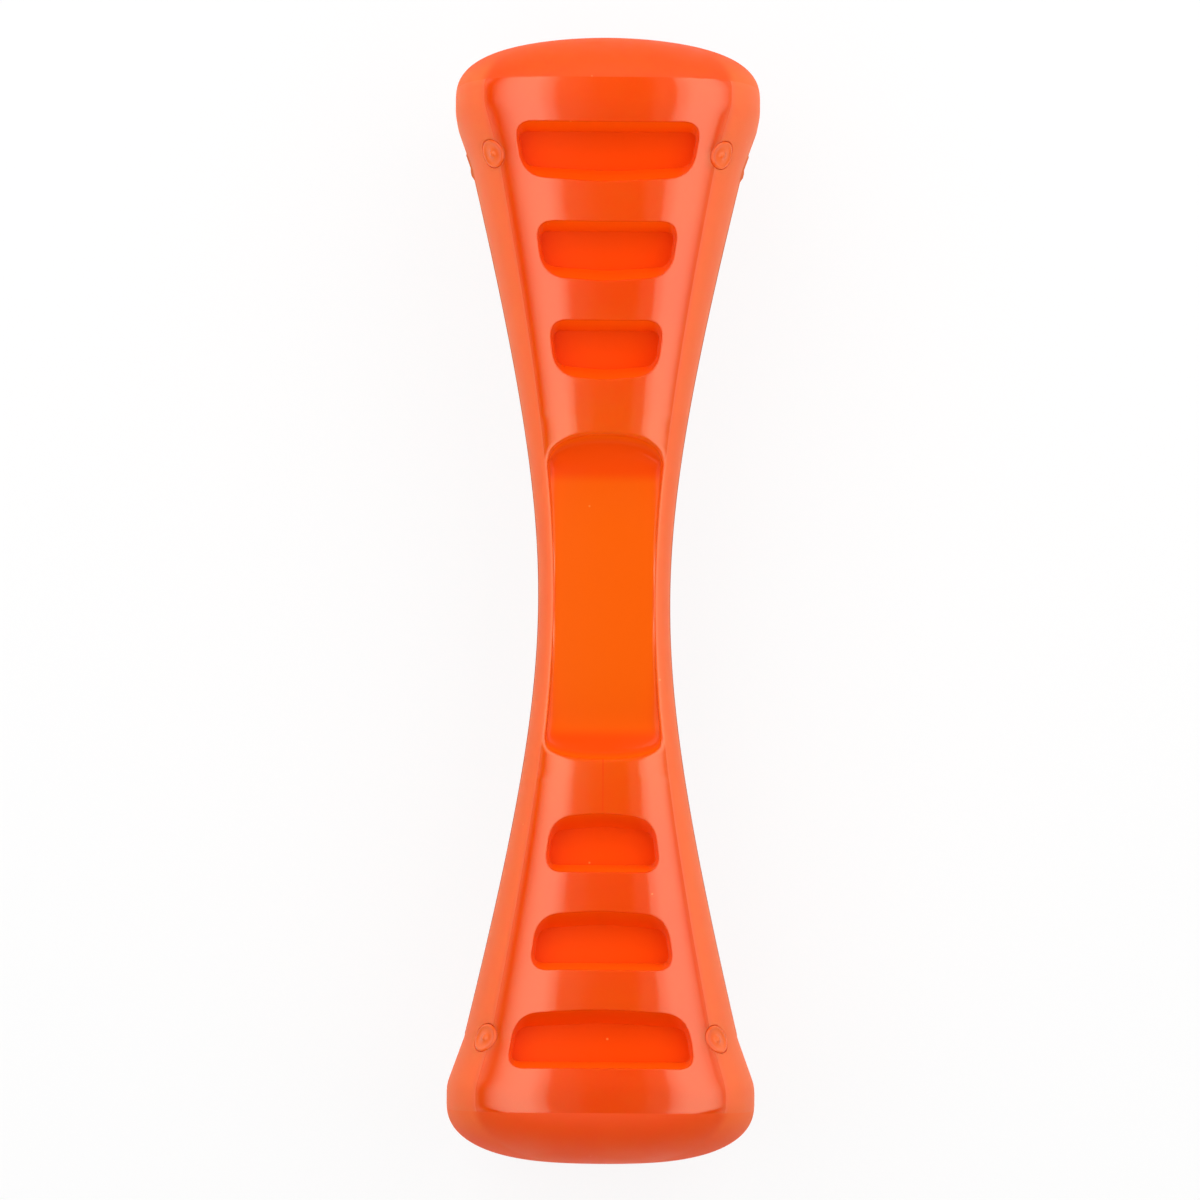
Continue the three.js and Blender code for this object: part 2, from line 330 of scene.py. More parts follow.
def section_reach(angle, squareness):
    """Distance from the middle of a unit section to its edge, at angles from the front."""
    sine = np.abs(np.sin(angle)) ** squareness
    cosine = np.abs(np.cos(angle)) ** squareness
    return (sine + cosine) ** (-1 / squareness)


def squareness_at(along, inset):
    """A section's exponent: a rounded square as far as the rest land, rounder towards the tip."""
    past = np.clip((np.abs(along) - land_end) / (RIM_LENGTH - inset), 0, 1)
    return SQUARENESS + (TIP_SQUARENESS - SQUARENESS) * past


def section_table():
    """The front half of a unit section: angles from the front, distances round it, across, up."""
    angle = np.linspace(-math.pi / 2, math.pi / 2, SECTION_SAMPLES)
    reach = section_reach(angle, SQUARENESS)
    across = reach * np.sin(angle)
    up = reach * np.cos(angle)
    steps = np.hypot(np.diff(across), np.diff(up))
    around = np.concatenate([[0], np.cumsum(steps)])
    return angle, around - around[-1] / 2, across, up


SECTION_ANGLE, SECTION_ROUND, SECTION_ACROSS, SECTION_UP = section_table()
seam_round = SECTION_ROUND[-1]


def skin_points(around, along):
    """Points on the skin, from distances round the unit section and places along the stick."""
    radius = half_width(along)
    across = np.interp(around, SECTION_ROUND, SECTION_ACROSS) * radius
    up = np.interp(around, SECTION_ROUND, SECTION_UP) * radius
    return np.stack([across, along, up], axis=-1)


def skin_places(points):
    """Distances round the unit section and places along the stick, from points on the skin."""
    angle = np.arctan2(points[:, 0], points[:, 2])
    return np.stack([np.interp(angle, SECTION_ANGLE, SECTION_ROUND), points[:, 1]], axis=-1)


def above_skin(points):
    """How far points lie outside the skin, and less than zero inside it."""
    across = np.abs(points[:, 0]) ** SQUARENESS
    up = np.abs(points[:, 2]) ** SQUARENESS
    return (across + up) ** (1 / SQUARENESS) - half_width(points[:, 1])


def depth_below_skin(points):
    """How deep points lie in the skin between the ends, zero on it and past the rest lands."""
    return np.where(np.abs(points[:, 1]) < land_start, np.maximum(-above_skin(points), 0), 0)


def onto_skin(points, direction):
    """The points moved along a direction until they lie on the skin."""
    for _ in range(LANDING_STEPS):
        height = above_skin(points)
        slope = (above_skin(points + NUDGE * direction) - height) / NUDGE
        points = points - (height / slope)[:, None] * direction
    return points


# Outlines on the skin

def unit(vectors):
    return vectors / np.linalg.norm(vectors, axis=-1, keepdims=True)


def even_points(line, count):
    """Points at even distances along a line, without its last point."""
    reach = np.concatenate([[0], np.cumsum(np.linalg.norm(np.diff(line, axis=0), axis=1))])
    wanted = np.linspace(0, reach[-1], count, endpoint=False)
    return np.stack([np.interp(wanted, reach, line[:, k]) for k in range(2)], axis=-1)


def corner_curve(before, corner, after, cut):
    """A rounded corner, as a curve that starts and ends a cut away from it."""
    start = corner + cut * unit(before - corner)
    end = corner + cut * unit(after - corner)
    t = np.linspace(0, 1, 2 * CORNER_STEPS + 1)[:, None]
    return (1 - t) ** 2 * start + 2 * t * (1 - t) * corner + t ** 2 * end


def rounded_outline(corners, main, counts):
    """A closed outline through rounded corners [x, y, cut], with counts points on its four sides.
    Sides start and end in the middle of the four main corners, from the top right leftwards."""
    spots = [np.array(c[:2], float) for c in corners]
    total = len(corners)
    curves = [
        corner_curve(spots[i - 1], spots[i], spots[(i + 1) % total], corners[i][2])
        for i in range(total)
    ]
    sides = []
    for k in range(4):
        first = main[k]
        last = main[(k + 1) % 4]
        run = [curves[first][CORNER_STEPS:]]
        between = (first + 1) % total
        while between != last:
            run.append(curves[between])
            between = (between + 1) % total
        run.append(curves[last][:CORNER_STEPS + 1])
        sides.append(even_points(np.vstack(run), counts[k]))
    return np.vstack(sides)


def grown(outline, by):
    """A closed outline moved outwards, or inwards where by is less than zero."""
    tangent = unit(np.roll(outline, -1, axis=0) - np.roll(outline, 1, axis=0))
    outward = np.stack([tangent[:, 1], -tangent[:, 0]], axis=-1)
    return outline + by * outward


def pocket_outline(along, width, length, corner_growth, counts):
    """A pocket's rim or floor: wide edge outwards, bowed edge to the waist, sides with the flank."""
    half = length / 2
    taper = flare_slope(along) / half_width(along) * width / 2 * half
    outer = width / 2 + taper
    inner = width / 2 - taper
    outer_cut = corner_growth + POCKET_OUTER_CORNER
    inner_cut = corner_growth + POCKET_INNER_CORNER
    corners = [
        [outer, half, outer_cut],
        [-outer, half, outer_cut],
        [-inner, -half + POCKET_ARCH, inner_cut],
        [0, -half, inner * POCKET_BOW],
        [inner, -half + POCKET_ARCH, inner_cut],
    ]
    return rounded_outline(corners, [0, 1, 2, 4], counts)


def panel_arch(start, stop, width, half, rise):
    """Part of the panel's bowed end, between two angles from its right side, for the top end."""
    angle = np.radians(np.linspace(start, stop, panel_points))
    power = 2 / PANEL_ARCH_SQUARENESS
    x = width * np.sign(np.cos(angle)) * np.abs(np.cos(angle)) ** power
    y = half - rise + rise * np.abs(np.sin(angle)) ** power
    return np.stack([x, y], axis=-1)


def panel_flank(waist, width, half, top, bottom):
    """The panel's left side from its top arch down to its bottom arch, drawn in at the waist."""
    y = np.linspace(half - top, -half + bottom, panel_points)[1:-1]
    reach = np.where(y > 0, half - top, half - bottom)
    x = waist + (width - waist) * (y / reach) ** 2
    return np.stack([-x, y], axis=-1)


def panel_outline(inset_side, inset_end, arches, counts):
    """The panel's rim, or its floor's edge when the insets are more than zero."""
    width = PANEL_END_WIDTH / 2 - inset_side
    waist = PANEL_WAIST_WIDTH / 2 - inset_side
    half = panel_half - inset_end
    top, bottom = arches
    left_side = 180
    right_corner = PANEL_CORNER
    left_corner = left_side - PANEL_CORNER
    below = [1, -1]
    left = np.vstack([
        panel_arch(left_corner, left_side, width, half, top),
        panel_flank(waist, width, half, top, bottom),
        panel_arch(left_side, left_corner, width, half, bottom) * below,
    ])
    sides = [
        panel_arch(right_corner, left_corner, width, half, top),
        left,
        panel_arch(left_corner, right_corner, width, half, bottom) * below,
        left[::-1] * [-1, 1],
    ]
    return np.vstack([even_points(side, count) for side, count in zip(sides, counts)])


def round_outline(radius, counts):
    """A circle from the middle of its top right quarter leftwards, with counts points on quarters."""
    quarter = math.pi / 2
    angles = [quarter * (k + 0.5 + np.arange(counts[k]) / counts[k]) for k in range(4)]
    angle = np.concatenate(angles)
    return radius * np.stack([np.cos(angle), np.sin(angle)], axis=-1)


# Places on the skin where an outline is drawn

class Place:
    """A spot on the skin with its own axes: across, along and outward."""

    def __init__(self, origin, along, outward):
        self.origin = np.array(origin, float)
        self.outward = unit(np.array(outward, float))
        along = np.array(along, float)
        self.along = unit(along - along.dot(self.outward) * self.outward)
        self.across = np.cross(self.along, self.outward)

    def at(self, outline, height=0.0):
        flat = outline[:, :1] * self.across + outline[:, 1:] * self.along
        return self.origin + flat + height * self.outward

    def on_skin(self, outline):
        return onto_skin(self.at(outline), self.outward)


def pocket_place(along, way):
    """The middle of a pocket, whose own top lies towards the stick's end."""
    slope = flare_slope(along)
    return Place([0, way * along, half_width(along)], [0, way, slope], [0, -way * slope, 1])


def peg_place(side, way):
    """The middle of a peg's head, on a corner of the section."""
    reach = peg_radius * 2 ** (-1 / SQUARENESS)
    lean = 2 ** (-1 + 1 / SQUARENESS)
    outward = [side * lean, -way * flare_slope(peg_at), lean]
    return Place([side * reach, way * peg_at, reach], [0, 1, 0], outward)


# Meshes

class Skin:
    """Points and faces of one closed mesh."""

    def __init__(self):
        self.points = []
        self.faces = []

    def add(self, points):
        start = len(self.points)
        self.points.extend(points)
        return np.arange(start, len(self.points))

    def face(self, corners):
        kept = [c for i, c in enumerate(corners) if c != corners[i - 1]]
        if len(kept) > 2:
            self.faces.append([int(c) for c in kept])

    def band(self, outer, inner):
        """Faces between two closed loops that run the same way round."""
        for k in range(len(outer)):
            self.face([outer[k - 1], outer[k], inner[k], inner[k - 1]])

    def rings(self, loop, rows):
        """Bands from a loop through rows of points, and the last loop."""
        for row in rows:
            inner = self.add(row)
            self.band(loop, inner)
            loop = inner
        return loop

    def close(self, loop, centre):
        middle = self.add([centre])[0]
        for k in range(len(loop)):
            self.face([loop[k - 1], loop[k], middle])


class Grid:
    """Rows and columns of points on the skin, with each point's number in the mesh."""

    def __init__(self, rows, columns, numbers):
        self.rows = rows
        self.columns = columns
        self.numbers = numbers

    def border(self, low, high, left, right, turned=False):
        """A patch's border: its points' numbers and places, and the counts on its four sides.
        It starts at the top right corner and runs leftwards, or the other way up if turned."""
        j0, j1 = np.searchsorted(self.rows, [low - CLOSE, high - CLOSE])
        i0, i1 = np.searchsorted(self.columns, [left - CLOSE, right - CLOSE])
        top = [(j1, i) for i in range(i1, i0, -1)]
        side = [(j, i0) for j in range(j1, j0, -1)]
        bottom = [(j0, i) for i in range(i0, i1)]
        other = [(j, i1) for j in range(j0, j1)]
        spots = np.array(top + side + bottom + other)
        if turned:
            spots = np.roll(spots, -len(top + side), axis=0)
        row, column = spots.T
        places = np.stack([self.columns[column], self.rows[row]], axis=-1)
        return self.numbers[row, column], places, [len(top), len(side), len(bottom), len(other)]


def apron_rows(places, lip):
    """Rows on the skin from a patch's border in to the lip of its hollow."""
    lip_places = skin_places(lip)
    shares = np.linspace(1, 0, RING_STEPS + 1)[1:] ** 2
    spots = [share * places + (1 - share) * lip_places for share in shares]
    return [skin_points(spot[:, 0], spot[:, 1]) for spot in spots]


def edge_rows(lip, rim, rounding, down):
    """Rows over a hollow's rounded edge, from its lip to the top of its wall."""
    turns = np.linspace(0, math.pi / 2, ROUND_STEPS + 1)[1:]
    return [lip + (rim - lip) * math.sin(t) + rounding * (1 - math.cos(t)) * down for t in turns]


def wall_rows(top, floor_edge, down, scooped):
    """Rows down a hollow's straight or scooped wall, from its top to the edge of the floor."""
    drop = ((floor_edge - top) @ down)[:, None] * down
    inward = floor_edge - top - drop
    shares = np.linspace(0, 1, WALL_STEPS + 1)[1:]
    bends = shares * math.pi / 2
    inwards = 1 - np.cos(bends) if scooped else shares
    drops = np.sin(bends) if scooped else shares
    return [top + inward * a + drop * b for a, b in zip(inwards, drops)]


def recess(skin, loop, places, down, rim, lip, floor_edge, rounding, scooped=False):
    """Fills a patch of skin with a hollow: rounded edge, straight or scooped wall and flat floor.
    loop and places are the patch's border, rim and lip lie on the skin round the hollow."""
    edge = edge_rows(lip, rim, rounding, down)
    wall = wall_rows(edge[-1], floor_edge, down, scooped)
    centre = floor_edge.mean(axis=0)
    floor = [centre + (floor_edge - centre) * share for share in FLOOR_SHARES]
    last = skin.rings(loop, apron_rows(places, lip) + edge + wall + floor)
    skin.close(last, centre)


def hollow_pocket(skin, grid, along, width, way):
    middle = way * along
    loop, places, counts = grid.border(
        middle - POCKET_PATCH, middle + POCKET_PATCH, -POCKET_COLUMN, POCKET_COLUMN, turned=way < 0
    )
    place = pocket_place(along, way)
    outline = pocket_outline(along, width, POCKET_LENGTH, POCKET_CORNER_GROWTH, counts)
    floor_width = width - 2 * POCKET_SIDE_WALL
    floor_length = POCKET_LENGTH - POCKET_INNER_WALL - POCKET_OUTER_WALL
    floor = pocket_outline(along, floor_width, floor_length, 0, counts)
    floor[:, 1] += (POCKET_INNER_WALL - POCKET_OUTER_WALL) / 2
    recess(
        skin, loop, places, -place.outward,
        rim=place.on_skin(outline),
        lip=place.on_skin(grown(outline, POCKET_RIM)),
        floor_edge=place.at(floor, -POCKET_DEPTH),
        rounding=POCKET_RIM,
    )


def hollow_panel(skin, grid):
    loop, places, counts = grid.border(-panel_reach, panel_reach, -PEG_COLUMN, PEG_COLUMN)
    place = Place([0, 0, waist_radius], [0, 1, 0], [0, 0, 1])
    outline = panel_outline(0, 0, PANEL_ARCHES, counts)
    floor = panel_outline(PANEL_BEVEL, PANEL_RAMP, PANEL_FLOOR_ARCHES, counts)
    lip = grown(outline, PANEL_RIM)
    lip[:, 0] *= (PANEL_END_WIDTH / 2 + PANEL_SIDE_RIM) / (PANEL_END_WIDTH / 2 + PANEL_RIM)
    recess(
        skin, loop, places, -place.outward,
        rim=place.on_skin(outline),
        lip=place.on_skin(lip),
        floor_edge=place.at(floor, -PANEL_DEPTH),
        rounding=PANEL_RIM,
        scooped=True,
    )


def hollow_peg(skin, grid, side, way):
    middle = way * peg_at
    left, right = sorted([side * POCKET_COLUMN, side * PEG_COLUMN])
    loop, places, counts = grid.border(middle - PEG_PATCH, middle + PEG_PATCH, left, right)
    place = peg_place(side, way)
    outline = round_outline(PEG_HEAD / 2 + PEG_GAP, counts)
    rim = place.on_skin(outline)
    recess(
        skin, loop, places, -place.outward,
        rim=rim,
        lip=place.on_skin(grown(outline, PEG_RIM)),
        floor_edge=rim - PEG_DEPTH * place.outward,
        rounding=PEG_RIM,
    )


def stretch(start, end):
    """Row places from start up to end, without end itself."""
    count = max(2, round((end - start) / ROW_STEP))
    return np.linspace(start, end, count, endpoint=False)


def row_places():
    """Places along one half of the skin where rows of points lie, as far as the rest land's end."""
    stops = [0, panel_reach]
    for along, _ in pockets:
        stops += [along - POCKET_PATCH, along + POCKET_PATCH]
    stops += [peg_at - PEG_PATCH, peg_at + PEG_PATCH, land_start, land_end]
    stops.sort()
    rows = [stretch(a, b) for a, b in zip(stops[:-1], stops[1:])]
    return np.concatenate(rows + [[land_end]])


def half_profile(inset):
    """Along and radius for each row of one half, from the middle of the stick to its end."""
    rows = row_places()
    angle = np.linspace(0, math.pi / 2, END_ROWS + 1)[1:]
    power = 2 / END_FULLNESS
    end_along = land_end + (RIM_LENGTH + CROWN - inset) * np.sin(angle) ** power
    flat = END_FLAT / 2
    rim_radius = flat + (end_radius - flat - inset) * np.maximum(np.cos(angle), 0) ** power
    along = np.concatenate([rows, end_along, [end_along[-1]]])
    radius = np.concatenate([half_width(rows) - inset, rim_radius, [0]])
    return along, radius


def full_profile(inset):
    along, radius = half_profile(inset)
    return np.concatenate([-along[:0:-1], along]), np.concatenate([radius[:0:-1], radius])


def column_places():
    """Distances round the unit section where columns of points lie, from seam to seam."""
    middle = np.linspace(0, POCKET_COLUMN, POCKET_COLUMNS + 1)
    corner = np.linspace(POCKET_COLUMN, PEG_COLUMN, PEG_COLUMNS + 1)[1:]
    share = np.linspace(0, 1, FLANK_COLUMNS + 1)[1:]
    flank = PEG_COLUMN + (seam_round - PEG_COLUMN) * (1 - (1 - share) ** 2)
    half = np.concatenate([middle, corner, flank])
    return np.concatenate([-half[:0:-1], half])


def flash(points):
    """Pushes the skin out into a thin line of flash along the seam, with a tab near the top end."""
    along = points[..., 1]
    height = FLASH * (np.abs(along) < peg_at)
    height = height + FLASH_TAB * (np.abs(along - peg_at - FLASH_TAB_SHIFT) < FLASH_TAB_LENGTH / 2)
    near = np.exp(-(points[..., 2] / FLASH_WIDTH) ** 2)
    points[..., 0] += np.sign(points[..., 0]) * height * near
    return points


def grid_points(inset, columns):
    """Points of the skin, or of its inside, in rows along the stick and columns round it."""
    along, radius = full_profile(inset)
    angle = np.interp(columns, SECTION_ROUND, SECTION_ANGLE)
    reach = radius[:, None] * section_reach(angle, squareness_at(along, inset)[:, None])
    points = np.zeros((len(along), len(columns), 3))
    points[..., 0] = reach * np.sin(angle)
    points[..., 1] = along[:, None]
    points[..., 2] = np.maximum(reach * np.cos(angle), SEAM / 2)
    return points


def add_points(skin, points, hidden):
    """Adds a grid's points but the hidden ones, with one point at each end, and their numbers."""
    numbers = np.full(points.shape[:2], -1)
    for j in range(1, points.shape[0] - 1):
        shown = np.where(~hidden[j])[0]
        numbers[j, shown] = skin.add(points[j, shown])
    for j in (0, points.shape[0] - 1):
        numbers[j] = skin.add(points[j, :1])[0]
    return numbers


def in_patches(rows, columns):
    """Which places in rows along the stick and columns round it lie inside a patch."""
    y = np.abs(rows)[:, None]
    a = np.abs(columns)[None, :]
    peg_middle = (POCKET_COLUMN + PEG_COLUMN) / 2
    patches = [(along, POCKET_PATCH, 0, POCKET_COLUMN) for along, _ in pockets]
    patches.append((0, panel_reach, 0, PEG_COLUMN))
    patches.append((peg_at, PEG_PATCH, peg_middle, PEG_COLUMN - peg_middle))
    inside = np.zeros((len(rows), len(columns)), bool)
    for along, reach, around, width in patches:
        inside |= (np.abs(y - along) < reach - CLOSE) & (np.abs(a - around) < width - CLOSE)
    return inside


def add_outside(skin):
    """Adds a half shell's outside, with its patches left open, and returns its grid."""
    columns = column_places()
    rows, _ = full_profile(0)
    numbers = add_points(skin, flash(grid_points(0, columns)), in_patches(rows, columns))
    open_faces = in_patches((rows[1:] + rows[:-1]) / 2, (columns[1:] + columns[:-1]) / 2)
    for j, i in np.argwhere(~open_faces):
        skin.face([numbers[j, i], numbers[j, i + 1], numbers[j + 1, i + 1], numbers[j + 1, i]])
    return Grid(rows, columns, numbers)


def add_inside(skin, outside):
    """Adds a half shell's inside, and the flat faces on its seam that join it to the outside."""
    points = grid_points(SKIN, np.linspace(-seam_round, seam_round, INNER_COLUMNS + 1))
    inside = add_points(skin, points, np.zeros(points.shape[:2], bool))
    for j in range(len(inside) - 1):
        for i in range(INNER_COLUMNS):
            skin.face([inside[j, i], inside[j + 1, i], inside[j + 1, i + 1], inside[j, i + 1]])
        skin.face([outside[j, -1], inside[j, -1], inside[j + 1, -1], outside[j + 1, -1]])
        skin.face([outside[j, 0], outside[j + 1, 0], inside[j + 1, 0], inside[j, 0]])


def half_shell():
    """One half of the skin, the front one: outside with its hollows, inside and seam faces."""
    skin = Skin()
    grid = add_outside(skin)
    add_inside(skin, grid.numbers)
    hollow_panel(skin, grid)
    for way in (1, -1):
        for along, width in pockets:
            hollow_pocket(skin, grid, along, width, way)
        for side in (1, -1):
            hollow_peg(skin, grid, side, way)
    return skin


def peg_head(side, way):
    """A peg's head that follows the skin, with a raised ring and a nub in its middle."""
    skin = Skin()
    place = peg_place(side, way)
    counts = [PEG_SIDES // 4] * 4
    rows = [
        place.on_skin(round_outline(radius, counts)) + height * place.outward
        for radius, height in reversed(PEG_TOP)
    ]
    foot = rows[0] - (PEG_DEPTH + PEG_TOP[-1][1] - 2 * PEG_GAP) * place.outward
    loop = skin.add(foot)
    top = skin.rings(loop, rows)
    skin.close(top, place.origin + PEG_TOP[0][1] * place.outward)
    skin.close(loop[::-1], foot.mean(axis=0))
    return skin


# Materials

MIX_FIRST = 6  # numbers of the sockets that mix two colours
MIX_SECOND = 7
MIX_RESULT = 2


def material(name):
    made = bpy.data.materials.new(name)
    made.use_nodes = True
    nodes = made.node_tree.nodes
    nodes.clear()
    output = nodes.new("ShaderNodeOutputMaterial")
    shader = nodes.new("ShaderNodeBsdfPrincipled")
    made.node_tree.links.new(shader.outputs["BSDF"], output.inputs["Surface"])
    return made, shader


def node(tree, kind, inputs=None, **settings):
    """A node with its settings and inputs: an input is a number, a colour or another's socket."""
    made = tree.nodes.new(kind)
    for key, value in settings.items():
        setattr(made, key, value)
    for key, value in (inputs or {}).items():
        if isinstance(value, bpy.types.NodeSocket):
            tree.links.new(value, made.inputs[key])
        else:
            made.inputs[key].default_value = value
    return made


def ramp(tree, value, low, high, first=0.0, last=1.0):
    """A value carried smoothly from one range into another."""
    return node(tree, "ShaderNodeMapRange", {
        "Value": value, "From Min": low, "From Max": high, "To Min": first, "To Max": last,
    }, interpolation_type="SMOOTHSTEP").outputs["Result"]


def ramp_mm(tree, value, low, high, first=0.0, last=1.0):
    """The same for a length, from a range in millimetres."""
    return ramp(tree, value, low * MM, high * MM, first, last)


def maths(tree, operation, first, second=0.0):
    return node(tree, "ShaderNodeMath", {0: first, 1: second}, operation=operation).outputs["Value"]


def blend(tree, share, first, second):
    """A colour between two, each a colour or another's socket."""
    inputs = {"Factor": share, MIX_FIRST: first, MIX_SECOND: second}
    return node(tree, "ShaderNodeMix", inputs, data_type="RGBA").outputs[MIX_RESULT]


def noise(tree, place, scale, detail):
    return node(tree, "ShaderNodeTexNoise", {
        "Vector": place, "Scale": scale, "Detail": detail,
    }).outputs["Fac"]


class Where:
    """Sockets that say where on the stick a point of its surface lies."""

    def __init__(self, tree):
        self.place = node(tree, "ShaderNodeTexCoord").outputs["Object"]
        x, y, z = node(tree, "ShaderNodeSeparateXYZ", {"Vector": self.place}).outputs
        self.up_stick = y
        self.along = maths(tree, "ABSOLUTE", y)
        self.across = maths(tree, "ABSOLUTE", x)
        self.height = maths(tree, "ABSOLUTE", maths(tree, "SUBTRACT", z, end_radius * MM))
        side = maths(tree, "DIVIDE", self.across, maths(tree, "ADD", self.across, self.height))
        self.dull = ramp(tree, side, FLANK_START - FLANK_BLEND, FLANK_START + FLANK_BLEND)
        before_tip = ramp_mm(tree, self.along, land_end + TIP_START, land_end + TIP_END, 1.0, 0.0)
        # Painted paler sheen on the flanks, fading out over the tips
        self.flank = maths(tree, "MULTIPLY", self.dull, before_tip)
        # Painted glow at the thin waist, fading out towards the ends
        self.thin = ramp_mm(tree, self.along, *THIN_GLOW, 1.0, 0.0)
        sink = node(tree, "ShaderNodeAttribute", attribute_name="sink").outputs["Fac"]
        # Painted shade comes in with depth below the skin
        self.sunk_shade = ramp(tree, sink, *SUNK_SHADE)
        normal = node(tree, "ShaderNodeNewGeometry").outputs["Normal"]
        facing = node(tree, "ShaderNodeSeparateXYZ", {"Vector": normal}).outputs["Z"]
        # Painted glow on a hollow's walls, strongest where they stand steep
        self.steep = ramp(tree, maths(tree, "ABSOLUTE", facing), *WALL_GLOW_STEEP, 1.0, 0.0)


def painted_hollow_shade(tree, where):
    """Share of the painted shade in the hollows: in the pockets and the panel's scooped walls, not on
    its floor.
    """
    lower = maths(tree, "LESS_THAN", where.up_stick, 0.0)
    shift = maths(tree, "MULTIPLY", lower, PANEL_SHADE_SHIFT * MM)
    along = maths(tree, "SUBTRACT", where.along, shift)
    foot = panel_half - PANEL_RAMP
    past_floor = ramp_mm(tree, along, foot + PANEL_SHADE[0], foot + PANEL_SHADE[1])
    return maths(tree, "MULTIPLY", where.sunk_shade, past_floor)


def seam_line(tree, where):
    """Share of the dark line that runs along the seam."""
    line = ramp_mm(tree, where.height, *SEAM_LINE, SEAM_SHARE, 0.0)
    fade = ramp_mm(tree, where.along, peg_at - SEAM_FADE, peg_at, 1.0, 0.0)
    return maths(tree, "MULTIPLY", line, fade)


def knit_line(tree, where):
    """Share of the fine dark line that runs on down the middle from the panel's lower end."""
    thin = ramp_mm(tree, where.across, KNIT_WIDTH / 2, KNIT_WIDTH, KNIT_SHARE, 0.0)
    below = maths(tree, "LESS_THAN", where.up_stick, -panel_half * MM)
    above = maths(tree, "GREATER_THAN", where.up_stick, -(panel_half + KNIT_LENGTH) * MM)
    return maths(tree, "MULTIPLY", thin, maths(tree, "MULTIPLY", below, above))


def specks(tree, where):
    """Share of the pale specks: small balls scattered through the rubber, cut by its surface."""
    balls = node(tree, "ShaderNodeTexVoronoi", {
        "Vector": where.place, "Scale": 1 / (SPECK_SPACING * MM),
    })
    size = SPECK_SIZE / SPECK_SPACING
    return ramp(tree, balls.outputs["Distance"], size / 2, size, SPECK_SHARE, 0.0)


def rubber_colour(tree, where, tones):
    """Clouds of two tones, with painted glow yellower at the thin waist, painted sheen paler on the
    flanks, painted shade deeper in the hollows, dark on the seam.
    Painted glow lightens a hollow's walls, standing in for the light that would come through them."""
    cloud = ramp(tree, noise(tree, where.place, *CLOUD_NOISE), *CLOUD_RANGE)
    skin = blend(tree, cloud, tones["light"], tones["deep"])
    # Painted glow, yellower at the thin waist
    skin = blend(tree, where.thin, skin, tones["thin"])
    # Painted sheen, paler on the flanks
    skin = blend(tree, where.flank, skin, tones["flank"])
    # Painted shade in the hollows
    hollow = painted_hollow_shade(tree, where)
    skin = blend(tree, hollow, skin, tones["hollow"])
    # Painted glow on a hollow's steep walls
    skin = blend(tree, maths(tree, "MULTIPLY", hollow, where.steep), skin, tones["wall"])
    skin = blend(tree, seam_line(tree, where), skin, tones["seam"])
    # The knit line is a real mark, drawn in the colour of the hollows' painted shade
    skin = blend(tree, knit_line(tree, where), skin, tones["hollow"])
    return blend(tree, specks(tree, where), skin, tones["speck"])


def rubber_roughness(tree, where, finish):
    """Faint smears on the faces, and duller flanks."""
    smears = ramp(tree, noise(tree, where.place, *SMEAR_NOISE), *SMEAR_RANGE, *finish["faces"])
    return ramp(tree, where.dull, 0.0, 1.0, smears, finish["flanks"])


def rubber(name, tones, finish):
    """Semi-gloss moulded rubber that light soaks into."""
    made, shader = material(name)
    tree = made.node_tree
    where = Where(tree)
    tree.links.new(rubber_colour(tree, where, tones), shader.inputs["Base Color"])
    tree.links.new(rubber_roughness(tree, where, finish), shader.inputs["Roughness"])
    grain = node(tree, "ShaderNodeBump", {
        "Height": noise(tree, where.place, *GRAIN_NOISE),
        "Strength": GRAIN_STRENGTH,
        "Distance": GRAIN_DEPTH * MM,
    })
    tree.links.new(grain.outputs["Normal"], shader.inputs["Normal"])
    shader.inputs["Subsurface Weight"].default_value = finish["soak"]
    shader.inputs["Subsurface Radius"].default_value = SOAK_SHARES
    shader.inputs["Subsurface Scale"].default_value = SOAK_LENGTH * MM
    shader.inputs["Specular IOR Level"].default_value = finish["gloss"]
    shader.inputs["Specular Tint"].default_value = GLOSS_TINT
    return made


def floor_material():
    """Pale floor that looks white to the camera and still takes a soft shadow."""
    made, shader = material("floor_white")
    tree = made.node_tree
    shader.inputs["Base Color"].default_value = FLOOR_COLOUR
    shader.inputs["Roughness"].default_value = FLOOR_ROUGHNESS
    shader.inputs["Specular IOR Level"].default_value = 0.0
    white = node(tree, "ShaderNodeEmission", {"Color": WHITE, "Strength": 1.0})
    path = node(tree, "ShaderNodeLightPath").outputs
    shiny = maths(tree, "MAXIMUM", path["Is Glossy Ray"], path["Is Transmission Ray"])
    seen = maths(tree, "MAXIMUM", path["Is Camera Ray"], shiny)
    mix = node(tree, "ShaderNodeMixShader", {
        "Fac": maths(tree, "MULTIPLY", seen, FLOOR_WHITE),
        1: shader.outputs["BSDF"],
        2: white.outputs["Emission"],
    })
    tree.links.new(mix.outputs["Shader"], tree.nodes["Material Output"].inputs["Surface"])
    return made


# Pieces

def piece(name, skin, turned, finishes, cad_node):
    """A smooth mesh object from a skin, turned half round the stick where it belongs to the back."""
    points = np.array(skin.points)
    sink = depth_below_skin(points)
    if turned:
        points = points * [-1, 1, -1]
    points = (points + [0, 0, end_radius]) * MM
    mesh = bpy.data.meshes.new(name)
    mesh.from_pydata(points.tolist(), [], skin.faces)
    mesh.validate()
    mesh.attributes.new("sink", "FLOAT", "POINT").data.foreach_set("value", sink)
    mesh.shade_smooth()
    mesh.set_sharp_from_angle(angle=math.radians(SHARP_ANGLE))
    for finish in finishes:
        mesh.materials.append(finish)
    made = bpy.data.objects.new(name, mesh)
    bpy.context.scene.collection.objects.link(made)
    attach(made, "root")
    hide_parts(cad_node)
    return made


SIDES, TIPS, HOLLOWS = range(3)  # numbers of a shell's finishes


